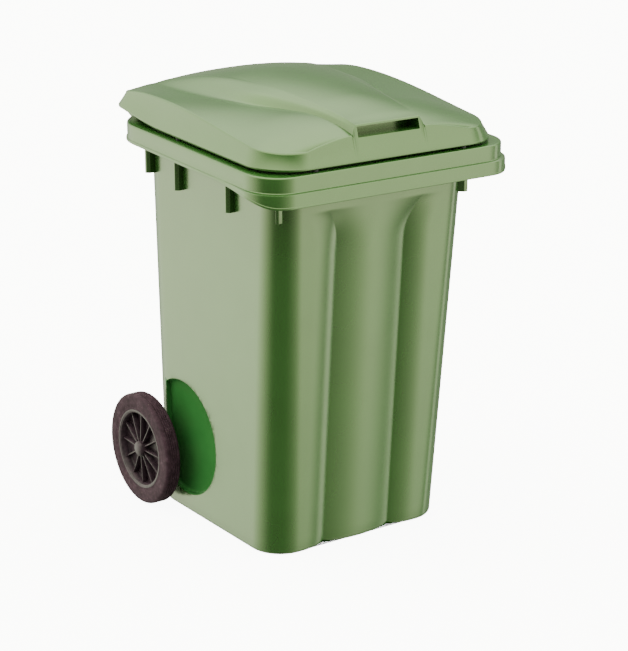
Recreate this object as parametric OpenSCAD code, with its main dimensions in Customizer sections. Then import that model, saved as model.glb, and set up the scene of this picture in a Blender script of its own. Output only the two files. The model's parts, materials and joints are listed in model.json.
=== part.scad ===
// Two-wheeled refuse bin with a hinged lid, millimetres, +Z up, +X to the bin's left-right axis.
// The front faces -Y. The origin is on the floor, below the middle of the whole bin.
// Sizes along Y are first counted from the tub's front edge on the floor, then shifted to the origin.

/* [Tub] */
// Width of the tub at the floor
foot_w = 454; // [400:1:500]
// Depth of the tub at the floor
foot_d = 489; // [440:1:560]
// Width of the tub just below the rim
waist_w = 490; // [450:1:540]
// How far the front wall leans forward from floor to rim
front_lean = 57; // [20:1:80]
// How far the rear wall leans forward from floor to rim
rear_lean = 14; // [10:1:25]
// Radius of the tub's front corners
front_corner_r = 72; // [40:1:100]
// Radius of the tub's rear corners
rear_corner_r = 95; // [50:1:120]
// Thickness of the moulded walls
wall = 4; // [3:0.5:6]
// Thickness of the tub's floor
floor_t = 6; // [4:0.5:10]
// Depth of the two valleys in the front wall
flute_depth = 14.5; // [4:0.5:20]
// Distance from the middle to each valley
flute_x = 85; // [60:1:100]
// Distance from the rim's top down to where the valleys begin to flare out
flute_down = 188; // [165:1:350]
// Height of the flare, from there up to the valley's tip
flute_flare_h = 92; // [60:1:110]

/* [Rim] */
// Height of the rim's top at the front
rim_h = 843; // [780:1:1000]
// Width of the rim
rim_w = 620; // [600:1:700]
// How far the rim stands in front of the tub's front edge on the floor
rim_front = 112; // [100:1:130]
// Depth of the rim from front to back
rim_d = 602; // [595:1:660]
// Rise of the rim towards the back, in degrees
rim_tilt = 2.5; // [0:0.1:4]
// Height of the upper band on the front of the rim
rim_step = 32; // [20:1:40]
// Height of the whole rim at the front
rim_front_h = 61; // [50:1:75]
// Height of the rim along the sides
rim_side_h = 38; // [30:1:50]
// How far the lower band stands proud of the upper one
rim_band = 8; // [2:0.5:12]

/* [Ribs] */
// How far the ribs under the rim stand out from the wall
rib_out = 17; // [12:1:24]
// Thickness of the ribs
rib_t = 12; // [5:1:16]

/* [Lid] */
// Distance from the rim's sides in to the lid's lower edge
lid_in = 17; // [10:1:25]
// Distance from the rim's front to the lid's front edge
lid_set_back = 8; // [2:1:12]
// How far the lid's lower edge reaches past the rim at the back
lid_over = 10; // [0:1:20]
// Gap between the rim and the lid's lower edge
lid_gap = 6; // [4:0.5:10]
// Thickness of the lid
lid_t = 4; // [3:0.5:5]
// How far the lid's skirt leans inwards up to its top edge
lid_top_in = 14; // [8:1:18]
// Width of the grip slot
slot_w = 152; // [100:1:154]
// Height of the grip slot
slot_h = 21; // [14:1:21]
// Depth of the grip slot
slot_d = 42; // [30:1:60]

/* [Hinge and handle] */
// Distance from the rear wall to the hinge axis
hinge_out = 60; // [52:1:80]
// Height of the hinge axis above the rim's rear edge
hinge_up = 9; // [4:1:20]
// Radius of the handle bar
bar_r = 14; // [11:0.5:17]
// Radius of the hinge knuckles
knuckle_r = 16; // [14:0.5:20]
// Distance from the middle to the inner face of each lid knuckle
knuckle_x = 184; // [150:1:210]
// Length of each lid knuckle
knuckle_l = 44; // [30:1:60]
// Thickness of the ears beside it
ear_t = 10; // [8:1:14]
// Radius of the hinge pins
pin_r = 6; // [4:0.5:8]

/* [Wheels] */
// Radius of the wheels
wheel_r = 125; // [100:1:150]
// Width of the tyres
tyre_w = 36; // [28:1:40]
// Distance from the middle to each tyre's outer face
wheel_x = 288; // [285:1:300]
// Distance from the tub's rear edge on the floor forward to the axle
axle_in = 51; // [40:1:70]
// Radius of the axle
axle_r = 10; // [8:0.5:12]
// Number of spokes in each wheel
spokes = 12; // [8:1:16]

/* [Fits] */
// Radial running clearance of pins and axle
run_fit = 0.06; // [0.03:0.01:0.1]
// Gap between faces that turn or open past each other
face_gap = 0.4; // [0.3:0.1:1]

/* [Hidden] */
green = "#88a772";
rubber_grey = "#3a3238";
wheel_grey = "#4a3f47";
steel = "#a9adb0";
dark_plastic = "#2c2a2c";

// ---- Places ----
waist_h = rim_h - 25;
flute_top = rim_h - flute_down;
axle_y = foot_d - axle_in;
rim_back = rim_d - rim_front;
wall_back = foot_d - rear_lean;
hinge_y = wall_back + hinge_out;
hinge_z = rim_z(rim_back) + hinge_up;
front_y = -rim_front - rim_band;
back_y = max(axle_y + wheel_r, hinge_y + knuckle_r);
mid_y = (front_y + back_y) / 2;

// ---- Tub ----
floor_round = 7;
panel_steps = 4;
post_steps = 4;
corner_steps = 5;
flange_t = 4;
rim_front_r = 72;
rim_back_r = 110;
waist_front_r = front_corner_r - 12;
waist_back_r = rear_corner_r - 15;
flute_flare_w = 32;
flare_lead = 15;
side_h_start = 170;
side_h_growth = 12;
band_fade = 60;
band_side_share = 0.35;
rim_edge_r = 4;
corner_rib_in = 19;
corner_rib_out = 15;
rib_root = 8;
rib_nose = 6;
rib_top_gap = 2;
block_h = 400;

// ---- Axle bay and wheel dishes ----
bay_half_w = 182;
bay_front = axle_y - 52;
bay_top = wheel_r + 42;
bay_rise = 24;
dish_r = 130;
dish_y = axle_y - 102;
dish_z = wheel_r + 48;
dish_depth = 12;
dish_back = axle_y - 34;
boss_r = 21;
boss_out = 236;

// ---- Hinge ----
ear_in = knuckle_x - face_gap - ear_t;
ear_out = knuckle_x + knuckle_l + face_gap;
pin_in = ear_in - 12;
pin_out = ear_out + ear_t + 4;
cap_r = 10;
cap_t = 5;
ear_root_top = hinge_z - 4;
ear_root_h = 52;
ear_web_h = 22;

// ---- Wheels ----
bush_flange_t = 3;
bush_flange_r = 18;
bush_wall = 3;
bush_l = boss_out + bush_flange_t - bay_half_w;
washer_t = 2;
lock_t = 1.5;
hub_r = axle_r + 7.5;
hub_in = boss_out + bush_flange_t + washer_t + face_gap;
hub_out = wheel_x - 9;
lock_x = hub_out + face_gap;
axle_end = lock_x + lock_t + 3;
nose_bore_r = hub_r - 2;
tread_grooves = 4;
groove_w = 1.6;
groove_d = 2;
groove_pitch = 5.2;
shoulder_r = 7;
wall_h = 20;
seat_r = wheel_r - 38;
barrel_t = 5;
lip_r = seat_r + 2.5;
lip_t = 3;
web_t = 3;
web_x = wheel_x - 24;
spoke_t = 2.6;
spoke_out = wheel_x - 6;

// ---- Lid ----
lid_w = rim_w - 2 * lid_in;
lid_front = -rim_front + lid_set_back;
lid_back = rim_back + lid_over;
lid_front_r = 90;
lid_back_r = 38;
lid_rows = 12;
lid_arc_rows = 4;
lid_flange = 16;
lid_lift = 16;
lid_lift_from = lid_back - 190;
lid_edge_fall = 4;
spine_front_z = rim_h + 78;
spine_top_z = rim_h + 116;
spine_top_y = lid_back - 210;
spine_back_fall = 15;
crown = 10;
crest_front_z = rim_h + 59;
crest_top_z = rim_h + 86;
edge_front_z = rim_h + 41;
edge_rise = 47;
channel_depth = 4;
channel_share = 0.85;
front_rake = 0.3;
rake_fade = 40;
slot_front_d = 19;
spine_half = 76;
spine_flare = 3;
spine_flare_d = 70;
spine_growth = 0.08;
spine_bend_d = 224;
spine_bend = 0.00028;
hollow_half = 90;
hollow_growth = 0.1;
hollow_bend = 0.00075;
hollow_turn_d = 269;
hollow_turn_x = 162;
hollow_spread = 45;
hollow_spread_d = 95;
edge_keep = 12;
crest_d = 164;
edge_start_d = 34;
edge_end_d = 484;
edge_fall = 0.0009;
buffer_r = 6.5;
buffer_front_x = lid_w / 2 - 110;
buffer_side_y = lid_back - 260;

function clamp(t) = min(1, max(0, t));
function smooth(t) = let (c = clamp(t)) c * c * (3 - 2 * c);
function mix(a, b, t) = a + (b - a) * t;
function rim_z(y) = rim_h + tan(rim_tilt) * (y + rim_front);

// The right half of a rounded outline, from the front middle to the back middle.
// The front carries half the middle panel, a valley and a post.
function half_outline(a, yf, yb, rf, rb, vx, vd) = concat(
  [for (i = [0:panel_steps]) let (u = i / panel_steps) [vx * u, yf + vd * u * u]],
  [for (i = [1:post_steps]) let (u = i / post_steps) [mix(vx, a - rf, u), yf + vd * pow(1 - u, 2)]],
  [for (i = [1:corner_steps]) let (q = 90 * i / corner_steps) [a - rf + rf * sin(q), yf + rf - rf * cos(q)]],
  [for (i = [0:corner_steps]) let (q = 90 * i / corner_steps) [a - rb + rb * cos(q), yb - rb + rb * sin(q)]],
  [[0, yb]]
);
function whole(half) = concat(half, [for (i = [len(half) - 2:-1:1]) [-half[i].x, half[i].y]]);

// Outline of the tub at height z, moved inwards by inset.
function valley_x(z) = flute_x + flute_flare_w * pow(clamp((z - flute_top) / flute_flare_h), 2.2);
function valley_d(z) =
  flute_depth * (1 - smooth((z - flute_top + flare_lead) / (flute_flare_h + flare_lead)));
function tub_outline(z, inset) =
  let (s = min(1, z / waist_h))
  whole(half_outline(
    mix(foot_w, waist_w, s) / 2 - inset,
    -front_lean * s + inset,
    foot_d - rear_lean * s - inset,
    mix(front_corner_r, waist_front_r, s) - inset,
    mix(rear_corner_r, waist_back_r, s) - inset,
    valley_x(z), valley_d(z)
  ));
function rim_outline(inset) = whole(half_outline(
  rim_w / 2 - inset, -rim_front + inset, rim_back - inset,
  rim_front_r - inset, rim_back_r - inset, flute_x, 0
));
// The lower band stands proud at the front and fades out along the sides.
function band_out(y) = rim_band * mix(1, band_side_share, smooth((y + rim_front - band_fade) / band_fade));
function skirt_h(y) =
  rim_side_h + side_h_growth * (1 - clamp((y + rim_front) / side_h_start))
  + (rim_front_h - rim_side_h - side_h_growth) * (1 - smooth((y + rim_front) / band_fade));
function flat_ring(outline, z) = [for (p = outline) [p.x, p.y, z]];
function rim_ring(outline, drop) = [for (p = outline) [p.x, p.y, rim_z(p.y) - drop]];
function pushed(p, out) =
  let (f = out / rim_w * 2, c = (rim_back - rim_front) / 2)
  [p.x * (1 + f), c + (p.y - c) * (1 + (p.y < c ? f : 0) * rim_w / rim_d)];
function band_ring(inset, low) = [
  for (p = rim_outline(inset))
    let (q = pushed(p, band_out(p.y)))
    [q.x, q.y, rim_z(p.y) - (low ? skirt_h(p.y) : min(rim_step + 3, skirt_h(p.y) - 1))]
];

// Skins between rings of points that all have the same count, closed at both ends.
module loft(rings) {
  n = len(rings[0]);
  last = len(rings) - 1;
  polyhedron(
    points = [for (r = rings, p = r) p],
    faces = concat(
      [[for (i = [0:n - 1]) i]],
      [for (r = [0:last - 1], i = [0:n - 1]) let (a = r * n + i, b = r * n + (i + 1) % n)
        each [[a, a + n, b + n], [a, b + n, b]]],
      [[for (i = [n - 1:-1:0]) last * n + i]]
    ),
    convexity = 10
  );
}

flare_heights = [for (i = [0:6]) flute_top - flare_lead + (flute_flare_h + flare_lead) * i / 6];

module tub_shell() {
  outer = concat(
    [flat_ring(tub_outline(0, floor_round), 0)],
    [flat_ring(tub_outline(0, floor_round * 0.3), floor_round * 0.3)],
    [flat_ring(tub_outline(floor_round, 0), floor_round)],
    [for (z = flare_heights) flat_ring(tub_outline(z, 0), z)]
  );
  rim = [
    rim_ring(tub_outline(waist_h, 0), flange_t),
    rim_ring(rim_outline(wall), flange_t),
    rim_ring(rim_outline(wall), rim_step - 4),
    band_ring(wall, true),
    band_ring(0, true),
    band_ring(0, false),
    rim_ring(rim_outline(0), rim_step),
    rim_ring(rim_outline(0), rim_edge_r),
    rim_ring(rim_outline(rim_edge_r * 0.3), rim_edge_r * 0.3),
    rim_ring(rim_outline(rim_edge_r), 0),
    rim_ring(tub_outline(waist_h, wall), 0)
  ];
  inner = concat(
    [for (i = [6:-1:0]) flat_ring(tub_outline(flare_heights[i], wall), flare_heights[i])],
    [flat_ring(tub_outline(floor_t + floor_round, wall), floor_t + floor_round)],
    [flat_ring(tub_outline(floor_t, wall + floor_round), floor_t)]
  );
  loft(concat(outer, rim, inner));
}

// The tub's outside as one block, cut back by half a wall, which trims what is added inside it.
module tub_block() {
  low = flat_ring(tub_outline(0, wall / 2), wall / 2);
  high = flat_ring(tub_outline(block_h, wall / 2), block_h);
  loft([low, high]);
}

// Side view of the bay that the axle crosses, grown by t.
module bay_profile(t) {
  top = bay_top + t;
  polygon([
    [bay_front - t, -1], [bay_front - t, top - bay_rise], [bay_front + bay_rise - t * 0.4, top],
    [foot_d + 40, top + bay_rise], [foot_d + 40, -1]
  ]);
}

module bay(t) {
  half = bay_half_w + t;
  translate([-half, 0, 0])
    rotate([90, 0, 90])
      linear_extrude(2 * half)
        bay_profile(t);
}

// A round recess in the side wall beside the wheel, with a straight rear edge, grown by t.
module dish(side, t) {
  floor_x = tub_side(dish_z) - dish_depth - t;
  intersection() {
    translate([side * floor_x, dish_y, dish_z])
      rotate([0, side * 90, 0])
        cylinder(r = dish_r + t, h = 60, $fn = 96);
    translate([side > 0 ? 0 : -rim_w, 0, 0])
      cube([rim_w, dish_back + t, block_h]);
  }
}
function tub_side(z) = mix(foot_w, waist_w, z / waist_h) / 2;

module axle_boss(side) {
  translate([side * (bay_half_w - 1), axle_y, wheel_r])
    rotate([0, side * 90, 0])
      cylinder(r = boss_r, h = boss_out - bay_half_w + 1, $fn = 64);
}

module along_x(x, y, z, r, l, fn = 64) {
  translate([x, y, z])
    rotate([0, 90, 0])
      cylinder(r = r, h = l, $fn = fn);
}

// A rib that stands out from a wall along +X, with its front edge cut off.
module rib(out, h) {
  linear_extrude(h)
    polygon([
      [-rib_root, -rib_t / 2], [out - rib_nose, -rib_t / 2], [out, rib_nose - rib_t / 2],
      [out, rib_t / 2], [-rib_root, rib_t / 2]
    ]);
}

// Each rib's place along the side, and how far down from the rim's front height it reaches.
side_ribs = [[106, 113], [302, 106], [418, 91]];
corner_rib_h = 107;

module ribs() {
  on_both_sides() {
    for (r = side_ribs)
      let (low = rim_h - r[1])
      translate([tub_side(low), r[0], low])
        rib(rib_out, rim_z(r[0]) - rib_top_gap - low);
    translate([waist_w / 2 - corner_rib_in, corner_rib_in - front_lean, rim_h - corner_rib_h])
      rotate([0, 0, -45])
        rib(corner_rib_out, corner_rib_h - rib_top_gap);
  }
}

module on_both_sides() {
  children();
  mirror([1, 0, 0])
    children();
}

// Ears and bar at the back carry the lid and serve as the handle.
module ear(x) {
  along_x(x, hinge_y, hinge_z, knuckle_r, ear_t);
  translate([x, 0, 0])
    rotate([90, 0, 90])
      linear_extrude(ear_t)
        polygon([
          [wall_back - wall, ear_root_top - ear_root_h], [wall_back - wall, ear_root_top],
          [hinge_y, hinge_z + knuckle_r * 0.25], [hinge_y + 4, hinge_z - knuckle_r * 0.96],
          [hinge_y - knuckle_r, hinge_z - ear_web_h]
        ]);
}

module handle() {
  for (x = [ear_in, ear_out, -ear_in - ear_t, -ear_out - ear_t])
    ear(x);
  along_x(-ear_in - 1, hinge_y, hinge_z, bar_r, 2 * ear_in + 2);
}

module pin_holes(r) {
  for (side = [1, -1])
    along_x(side > 0 ? pin_in : -pin_out - 1, hinge_y, hinge_z, r, pin_out + 1 - pin_in);
}

module body() {
  color(green)
    placed()
      difference() {
        union() {
          tub_shell();
          intersection() {
            tub_block();
            union() {
              bay(wall);
              dish(1, wall);
              dish(-1, wall);
            }
          }
          ribs();
          handle();
          axle_boss(1);
          axle_boss(-1);
        }
        bay(0);
        dish(1, 0);
        dish(-1, 0);
        pin_holes(pin_r + run_fit);
        along_x(-boss_out - 1, axle_y, wheel_r, axle_r + bush_wall + run_fit, 2 * boss_out + 2);
      }
}

// ---- Lid ----
// Rows from front to back: each gives [y, half width] of an outline with rounded corners.
function lid_rows_of(a, yf, yb, rf, rb) = concat(
  [for (i = [0:lid_arc_rows])
    let (q = 90 * i / lid_arc_rows)
    [yf + rf * (1 - cos(q)), a - rf + rf * sin(q)]],
  [for (i = [1:lid_rows - 1]) [mix(yf + rf, yb - rb, i / lid_rows), a]],
  [for (i = [lid_arc_rows:-1:0])
    let (q = 90 * i / lid_arc_rows)
    [yb - rb * (1 - cos(q)), a - rb + rb * sin(q)]]
);
// Half width of the raised spine, and of the hollow beside it, at distance d from the lid's front.
function spine_w(d) = spine_half + spine_flare * (1 - smooth(d / spine_flare_d))
  + spine_growth * max(0, d - slot_front_d) + spine_bend * pow(max(0, d - spine_bend_d), 2);
function hollow_w(d) = d < hollow_turn_d
  ? hollow_half + hollow_growth * max(0, d - slot_front_d) + hollow_bend * pow(max(0, d - slot_front_d), 2)
  : hollow_turn_x + hollow_spread * (1 - exp((hollow_turn_d - d) / hollow_spread_d));
function spine_z(y) = y < spine_top_y
  ? spine_top_z - (spine_top_z - spine_front_z)
    * pow((spine_top_y - y) / (spine_top_y - lid_front - slot_front_d), 2)
  : spine_top_z - spine_back_fall * pow((y - spine_top_y) / 150, 2);
function crest_z(d) = crest_top_z
  - (crest_top_z - crest_front_z) * pow(max(0, crest_d - d) / (crest_d - slot_front_d), 2);
function edge_z(d) = edge_front_z
  + edge_rise * pow(sin(90 * clamp((d - edge_start_d) / (edge_end_d - edge_start_d))), 1.3)
  - edge_fall * pow(max(0, d - edge_end_d), 2);
function lid_z(x, y, half) =
  let (d = y - lid_front, a = abs(x), e = spine_w(d), h = min(hollow_w(d), half - edge_keep))
  let (t = (a - e) / (h - e), low = crest_z(d) - channel_depth)
  a <= e ? spine_z(y) + crown * smooth(d / 150) * (1 - pow(a / e, 2))
  : a < h ? mix(spine_z(y), low, smooth(t / channel_share))
    + channel_depth * smooth((t - channel_share) / (1 - channel_share))
  : mix(crest_z(d), edge_z(d), pow((a - h) / (half - h), 1.5));
// The front skirt is one raked plane, so what stands higher also stands further back.
function raked_y(y, z) =
  y + front_rake * (z - crest_front_z) * (1 - smooth((y - lid_front - lid_top_in) / rake_fade));
function skirt_y(z) = lid_front + lid_top_in + front_rake * (z - crest_front_z);
// Where the columns of each row stand: on the spine, down its flank, over the hollow and the wing.
function lid_half_columns(y, half) =
  let (d = y - lid_front, e = spine_w(d), h = min(hollow_w(d), half - edge_keep))
  concat(
    [for (f = [0, 0.35, 0.7, 0.95, 1]) e * f],
    [for (f = [0.3, 0.6, 0.85, 1]) mix(e, h, f)],
    [for (f = [0.3, 0.6, 0.85, 0.96, 1]) mix(h, half, f)]
  );
function lid_columns(y, half) =
  let (c = lid_half_columns(y, half), n = len(c) - 1)
  concat([for (i = [n:-1:1]) -c[i]], c);
lid_n = 27;
function edge_drop(x, half) = abs(x) > half - 0.1 ? lid_edge_fall : 0;
function lid_top_rows(inset) = lid_rows_of(
  lid_w / 2 - lid_top_in - lid_edge_fall - inset,
  lid_front + lid_top_in + inset, lid_back - lid_top_in - inset,
  lid_front_r - 10 - inset, lid_back_r - 8 - inset
);
function lid_grid(inset) = [
  for (r = lid_top_rows(inset))
    [for (x = lid_columns(r[0], r[1]))
      let (z = lid_z(x, r[0], r[1]))
      [x, raked_y(r[0], z), z - inset - edge_drop(x, r[1])]]
];
function lid_low_z(y) =
  rim_z(y) + lid_gap + lid_lift * smooth((y - lid_lift_from) / (lid_back - lid_lift_from));
// The loop of points round a lid outline, matched to the border of the grid of columns.
function border(rows, up) =
  let (n = len(rows) - 1)
  let (f = lid_columns(rows[0][0], rows[0][1]), b = lid_columns(rows[n][0], rows[n][1]))
  concat(
    [for (i = [0:lid_n - 1]) [f[i], rows[0][0], lid_low_z(rows[0][0]) + up]],
    [for (i = [1:n - 1]) [rows[i][1], rows[i][0], lid_low_z(rows[i][0]) + up]],
    [for (i = [lid_n - 1:-1:0]) [b[i], rows[n][0], lid_low_z(rows[n][0]) + up]],
    [for (i = [n - 1:-1:1]) [-rows[i][1], rows[i][0], lid_low_z(rows[i][0]) + up]]
  );
function lid_loop(inset, up) = border(lid_rows_of(
  lid_w / 2 - inset, lid_front + inset, lid_back - inset, lid_front_r - inset, lid_back_r - inset
), up);
function grid_border(grid) =
  let (n = len(grid) - 1)
  concat(
    grid[0],
    [for (i = [1:n - 1]) grid[i][lid_n - 1]],
    [for (i = [lid_n - 1:-1:0]) grid[n][i]],
    [for (i = [n - 1:-1:1]) grid[i][0]]
  );

module lid_shell() {
  outer = lid_grid(0);
  inner = lid_grid(lid_t);
  loops = [
    grid_border(outer), lid_loop(0, 3), lid_loop(0, 0), lid_loop(lid_flange, 0),
    lid_loop(lid_flange, lid_t), lid_loop(lid_t, lid_t + 1), grid_border(inner)
  ];
  rows = len(outer);
  n = len(loops[0]);
  grid_n = rows * lid_n;
  // Border points are repeated in the loops; equal points are merged when the solid is read.
  points = concat([for (r = outer, p = r) p], [for (r = inner, p = r) p], [for (l = loops, p = l) p]);
  base = 2 * grid_n;
  faces = concat(
    [for (r = [0:rows - 2], c = [0:lid_n - 2]) let (a = r * lid_n + c)
      each [[a, a + lid_n, a + lid_n + 1], [a, a + lid_n + 1, a + 1]]],
    [for (r = [0:rows - 2], c = [0:lid_n - 2]) let (a = grid_n + r * lid_n + c)
      each [[a, a + lid_n + 1, a + lid_n], [a, a + 1, a + lid_n + 1]]],
    [for (l = [0:len(loops) - 2], i = [0:n - 1]) let (a = base + l * n, j = (i + 1) % n)
      each [[a + i, a + j, a + n + j], [a + i, a + n + j, a + n + i]]]
  );
  polyhedron(points = points, faces = faces, convexity = 10);
}

slot_z = spine_front_z - 25;
module slot_box(t) {
  half = slot_w / 2 + t;
  low = slot_z - t;
  high = slot_z + slot_h + t;
  lead = t > 0 ? lid_t / 2 : -20;
  back = lid_front + lid_top_in + slot_d + t;
  translate([-half, 0, 0])
    rotate([90, 0, 90])
      linear_extrude(2 * half)
        polygon([[skirt_y(low) + lead, low], [back, low], [back, high], [skirt_y(high) + lead, high]]);
}

module lid_arm(side) {
  x = side > 0 ? knuckle_x : -knuckle_x - knuckle_l;
  along_x(x, hinge_y, hinge_z, knuckle_r, knuckle_l);
  translate([x, 0, 0])
    rotate([90, 0, 90])
      linear_extrude(knuckle_l)
        polygon([
          [lid_back - 9, hinge_z + 16], [lid_back - 13, hinge_z + 32],
          [hinge_y - 6, hinge_z + knuckle_r * 0.9], [hinge_y + 2, hinge_z],
          [hinge_y - knuckle_r * 0.9, hinge_z + 2]
        ]);
}

module lid() {
  color(green)
    placed()
      difference() {
        union() {
          lid_shell();
          slot_box(lid_t - 1);
          lid_arm(1);
          lid_arm(-1);
        }
        slot_box(0);
        pin_holes(pin_r + run_fit);
      }
}

module lid_buffer(x, y) {
  translate([x, y, rim_z(y)])
    rotate([rim_tilt, 0, 0])
      translate([0, 0, face_gap])
        cylinder(r = buffer_r, h = lid_gap * cos(rim_tilt) - face_gap, $fn = 32);
}

module lid_buffers() {
  color(rubber_grey)
    placed()
      for (side = [1, -1]) {
        lid_buffer(side * buffer_front_x, lid_front + lid_flange / 2);
        lid_buffer(side * (lid_w / 2 - lid_flange / 2), buffer_side_y);
      }
}

// ---- Hinge pins ----
module on_side(side) {
  if (side > 0)
    children();
  else
    mirror([1, 0, 0])
      children();
}

module hinge_pin(side) {
  color(steel)
    placed()
      on_side(side)
        along_x(pin_in + 1, hinge_y, hinge_z, pin_r, pin_out - pin_in - 1);
}

module hinge_cap(side) {
  color(dark_plastic)
    placed()
      on_side(side)
        difference() {
          union() {
            along_x(ear_out + ear_t, hinge_y, hinge_z, cap_r, cap_t);
            along_x(ear_out + ear_t + cap_t, hinge_y, hinge_z, cap_r - 2, 1.5);
          }
          along_x(ear_out + ear_t - 1, hinge_y, hinge_z, pin_r + run_fit, pin_out - ear_out - ear_t + 1);
        }
}

// ---- Axle and wheels ----
module tube(x, l, r_out, r_in) {
  difference() {
    along_x(x, axle_y, wheel_r, r_out, l);
    along_x(x - 1, axle_y, wheel_r, r_in, l + 2);
  }
}

module axle() {
  color(steel)
    placed()
      along_x(-axle_end, axle_y, wheel_r, axle_r, 2 * axle_end);
}

module axle_bush(side) {
  color(dark_plastic)
    placed()
      on_side(side)
        difference() {
          union() {
            along_x(bay_half_w, axle_y, wheel_r, axle_r + bush_wall, bush_l - bush_flange_t);
            along_x(boss_out, axle_y, wheel_r, bush_flange_r, bush_flange_t);
          }
          along_x(bay_half_w - 1, axle_y, wheel_r, axle_r + run_fit, bush_l + 2);
        }
}

module axle_washer(side) {
  color(steel)
    placed()
      on_side(side)
        tube(boss_out + bush_flange_t, washer_t, bush_flange_r - 1, axle_r + run_fit);
}

module wheel_lock(side) {
  color(steel)
    placed()
      on_side(side)
        tube(lock_x, lock_t, axle_r + 3.5, axle_r + run_fit);
}

module hub_bush(side) {
  color(dark_plastic)
    placed()
      on_side(side)
        tube(hub_in, hub_out - hub_in, axle_r + bush_wall, axle_r + run_fit);
}

module wheel_rim(side) {
  color(wheel_grey)
    placed()
      on_side(side)
        difference() {
          union() {
            along_x(hub_in, axle_y, wheel_r, hub_r, wheel_x - 1 - hub_in);
            along_x(web_x, axle_y, wheel_r, seat_r - 1, web_t, 96);
            tube(wheel_x - tyre_w + 2, tyre_w - 3, seat_r, seat_r - barrel_t);
            tube(wheel_x - 1 - lip_t, lip_t, lip_r, seat_r - barrel_t);
            for (i = [0:spokes - 1])
              translate([web_x, axle_y, wheel_r])
                rotate([360 * i / spokes, 0, 0])
                  translate([0, hub_r - 1, -spoke_t / 2])
                    cube([spoke_out - web_x, seat_r - barrel_t - hub_r + 2, spoke_t]);
          }
          along_x(hub_in - 1, axle_y, wheel_r, axle_r + bush_wall + run_fit, hub_out - hub_in + 2);
          along_x(hub_out, axle_y, wheel_r, nose_bore_r, 20);
        }
}

module tyre_profile() {
  half = tyre_w / 2;
  first = -groove_pitch * (tread_grooves - 1) / 2 - groove_w / 2;
  grooves = [for (i = [0:tread_grooves - 1]) let (low = first + groove_pitch * i) each [
    [wheel_r, low], [wheel_r - groove_d, low],
    [wheel_r - groove_d, low + groove_w], [wheel_r, low + groove_w]
  ]];
  shoulder = [for (q = [0:30:90])
    [wheel_r - shoulder_r * (1 - sin(q)), half - shoulder_r * (1 - cos(q))]];
  polygon(concat(
    [[lip_r + run_fit, -half + 2], [wheel_r - wall_h, -half]],
    [for (p = shoulder) [p.x, -p.y]],
    grooves,
    [for (i = [len(shoulder) - 1:-1:0]) shoulder[i]],
    [
      [wheel_r - wall_h, half], [lip_r + run_fit, half - 1], [lip_r + run_fit, half - 1 - lip_t],
      [seat_r + run_fit, half - 1 - lip_t], [seat_r + run_fit, -half + 2]
    ]
  ));
}

module tyre(side) {
  color(rubber_grey)
    placed()
      on_side(side)
        translate([wheel_x - tyre_w / 2, axle_y, wheel_r])
          rotate([0, 90, 0])
            rotate_extrude($fn = 96)
              tyre_profile();
}

module hub_cap(side) {
  color(wheel_grey)
    placed()
      on_side(side)
        translate([0, axle_y, wheel_r])
          rotate([0, 90, 0])
            rotate_extrude($fn = 64)
              polygon([
                [0, wheel_x + 5], [6, wheel_x + 4.4], [11, wheel_x + 2.6], [hub_r - 1, wheel_x],
                [hub_r - 1, wheel_x - 1],
                [nose_bore_r - run_fit, wheel_x - 1], [nose_bore_r - run_fit, wheel_x - 5],
                [nose_bore_r - 2, wheel_x - 5], [nose_bore_r - 2, wheel_x - 1], [0, wheel_x - 1]
              ]);
}

module placed() {
  translate([0, -mid_y, 0])
    children();
}

body();
lid();
lid_buffers();
hinge_pin(-1);  // hinge_pin_left
hinge_pin(1);  // hinge_pin_right
hinge_cap(-1);  // hinge_cap_left
hinge_cap(1);  // hinge_cap_right
axle();
axle_bush(-1);  // axle_bush_left
axle_bush(1);  // axle_bush_right
axle_washer(-1);  // axle_washer_left
axle_washer(1);  // axle_washer_right
wheel_lock(-1);  // wheel_lock_left
wheel_lock(1);  // wheel_lock_right
wheel_rim(-1);  // wheel_rim_left
wheel_rim(1);  // wheel_rim_right
hub_bush(-1);  // hub_bush_left
hub_bush(1);  // hub_bush_right
tyre(-1);  // tyre_left
tyre(1);  // tyre_right
hub_cap(-1);  // hub_cap_left
hub_cap(1);  // hub_cap_right
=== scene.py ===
import json
from math import cos, pi, radians, sin, tan

import bmesh
import bpy
import numpy as np
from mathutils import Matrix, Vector


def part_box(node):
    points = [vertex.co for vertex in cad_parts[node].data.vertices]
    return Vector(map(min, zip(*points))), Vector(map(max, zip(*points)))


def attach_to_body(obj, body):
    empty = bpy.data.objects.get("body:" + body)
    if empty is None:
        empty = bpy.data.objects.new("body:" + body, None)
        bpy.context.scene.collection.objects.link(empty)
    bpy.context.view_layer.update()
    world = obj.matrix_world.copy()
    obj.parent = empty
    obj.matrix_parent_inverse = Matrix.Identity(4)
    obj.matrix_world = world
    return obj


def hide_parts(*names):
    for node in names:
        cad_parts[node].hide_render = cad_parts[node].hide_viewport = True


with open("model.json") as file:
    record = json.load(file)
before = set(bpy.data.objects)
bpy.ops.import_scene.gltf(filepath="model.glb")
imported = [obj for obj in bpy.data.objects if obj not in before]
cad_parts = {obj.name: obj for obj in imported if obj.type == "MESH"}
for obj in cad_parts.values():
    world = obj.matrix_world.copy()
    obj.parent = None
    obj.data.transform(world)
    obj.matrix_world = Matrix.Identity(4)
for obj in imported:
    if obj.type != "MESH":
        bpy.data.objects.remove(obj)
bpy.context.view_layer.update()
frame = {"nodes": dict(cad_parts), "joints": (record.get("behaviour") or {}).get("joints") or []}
print("frame loaded:", len(frame["nodes"]), "nodes")

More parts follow.
